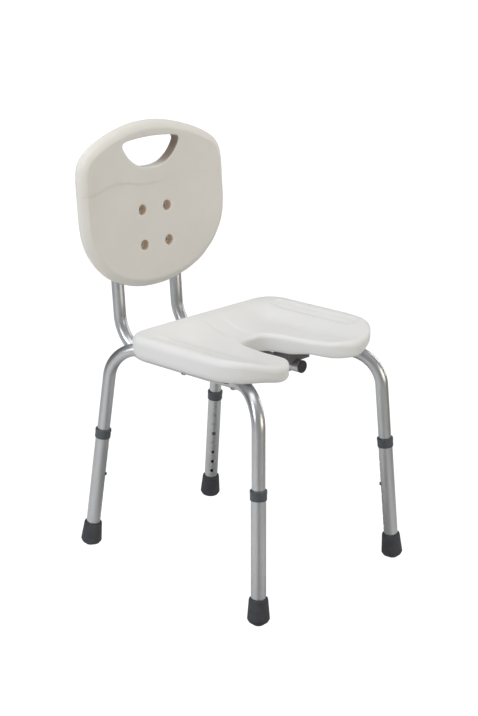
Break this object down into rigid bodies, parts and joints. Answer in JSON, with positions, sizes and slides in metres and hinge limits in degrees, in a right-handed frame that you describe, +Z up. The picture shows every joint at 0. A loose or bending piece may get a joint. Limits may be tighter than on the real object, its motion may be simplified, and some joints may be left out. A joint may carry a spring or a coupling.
{
  "type": "shower chair",
  "caption": "Shower chair with a moulded U-cut seat and backrest on a bent aluminium tube frame; height-adjustable telescoping legs with snap buttons and rubber feet.",
  "frame": {"origin": "on the floor, under the centre of the chair's bounding box", "axes": "+Z up; the sitter faces -Y; +X is to the sitter's left when seated (viewer's right from the front)"},
  "size_m": [0.4576, 0.5631, 0.8828],
  "materials": {
    "seat_plastic": "fine matt moulded polyethylene",
    "tube_aluminium": "satin anodised",
    "collar_plastic": "satin grey plastic",
    "plug_plastic": "satin black plastic",
    "bracket_plastic": "matt dark grey plastic",
    "tip_rubber": "matt grey rubber",
    "steel": "bright zinc-plated",
    "strap_steel": "dark satin coating"
  },
  "bodies": {
    "frame": {"seat_shell": "seat_plastic", "backrest_shell": "seat_plastic", "left_bow_tube": "tube_aluminium", "left_back_tube": "tube_aluminium", "left_front_plug": "plug_plastic", "left_top_plug": "plug_plastic", "left_front_saddle": "bracket_plastic", "left_front_saddle_bolt": "steel", "left_bow_bolt_front": "steel", "left_rear_saddle": "bracket_plastic", "left_rear_saddle_bolt": "steel", "left_bow_bolt_rear": "steel", "left_strap_bolt": "steel", "right_bow_tube": "tube_aluminium", "right_back_tube": "tube_aluminium", "right_front_plug": "plug_plastic", "right_top_plug": "plug_plastic", "right_front_saddle": "bracket_plastic", "right_front_saddle_bolt": "steel", "right_bow_bolt_front": "steel", "right_rear_saddle": "bracket_plastic", "right_rear_saddle_bolt": "steel", "right_bow_bolt_rear": "steel", "right_strap_bolt": "steel", "centre_strap": "strap_steel", "upper_back_bar": "tube_aluminium", "backrest_screw_upper_left": "steel", "backrest_screw_upper_right": "steel", "lower_back_bar": "tube_aluminium", "backrest_screw_lower_left": "steel", "backrest_screw_lower_right": "steel", "front_left_snap_spring": "steel", "front_right_snap_spring": "steel", "rear_left_snap_spring": "steel", "rear_right_snap_spring": "steel"},
    "front_left_lower_leg": {"front_left_lower_leg_tube": "tube_aluminium", "front_left_collar": "collar_plastic", "front_left_foot_tip": "tip_rubber", "front_left_foot_washer": "steel"},
    "front_left_button": {"front_left_snap_button": "steel"},
    "front_right_lower_leg": {"front_right_lower_leg_tube": "tube_aluminium", "front_right_collar": "collar_plastic", "front_right_foot_tip": "tip_rubber", "front_right_foot_washer": "steel"},
    "front_right_button": {"front_right_snap_button": "steel"},
    "rear_left_lower_leg": {"rear_left_lower_leg_tube": "tube_aluminium", "rear_left_collar": "collar_plastic", "rear_left_foot_tip": "tip_rubber", "rear_left_foot_washer": "steel"},
    "rear_left_button": {"rear_left_snap_button": "steel"},
    "rear_right_lower_leg": {"rear_right_lower_leg_tube": "tube_aluminium", "rear_right_collar": "collar_plastic", "rear_right_foot_tip": "tip_rubber", "rear_right_foot_washer": "steel"},
    "rear_right_button": {"rear_right_snap_button": "steel"}
  },
  "joints": [
    {"name": "front_left_leg_slide", "type": "slide", "parent": "frame", "child": "front_left_lower_leg", "axis": [-0.0616, -0.0612, -0.9962], "range_m": [-0.096, 0.072], "deforming": ["front_left_snap_button", "front_left_snap_spring"]},
    {"name": "front_left_button_press", "type": "slide", "parent": "frame", "child": "front_left_button", "axis": [-0.64, -0.7635, 0.0865], "range_m": [0, 0.005], "stiffness_N_per_m": 1500, "springref_m": -0.004, "deforming": ["front_left_snap_spring"]},
    {"name": "front_right_leg_slide", "type": "slide", "parent": "frame", "child": "front_right_lower_leg", "axis": [0.0616, -0.0612, -0.9962], "range_m": [-0.096, 0.072], "deforming": ["front_right_snap_button", "front_right_snap_spring"]},
    {"name": "front_right_button_press", "type": "slide", "parent": "frame", "child": "front_right_button", "axis": [0.64, -0.7635, 0.0865], "range_m": [0, 0.005], "stiffness_N_per_m": 1500, "springref_m": -0.004, "deforming": ["front_right_snap_spring"]},
    {"name": "rear_left_leg_slide", "type": "slide", "parent": "frame", "child": "rear_left_lower_leg", "axis": [-0.058, 0.1266, -0.9903], "range_m": [-0.096, 0.072], "deforming": ["rear_left_snap_button", "rear_left_snap_spring"]},
    {"name": "rear_left_button_press", "type": "slide", "parent": "frame", "child": "rear_left_button", "axis": [-0.6409, 0.7558, 0.1341], "range_m": [0, 0.005], "stiffness_N_per_m": 1500, "springref_m": -0.004, "deforming": ["rear_left_snap_spring"]},
    {"name": "rear_right_leg_slide", "type": "slide", "parent": "frame", "child": "rear_right_lower_leg", "axis": [0.058, 0.1266, -0.9903], "range_m": [-0.096, 0.072], "deforming": ["rear_right_snap_button", "rear_right_snap_spring"]},
    {"name": "rear_right_button_press", "type": "slide", "parent": "frame", "child": "rear_right_button", "axis": [0.6409, 0.7558, 0.1341], "range_m": [0, 0.005], "stiffness_N_per_m": 1500, "springref_m": -0.004, "deforming": ["rear_right_snap_spring"]}
  ]
}
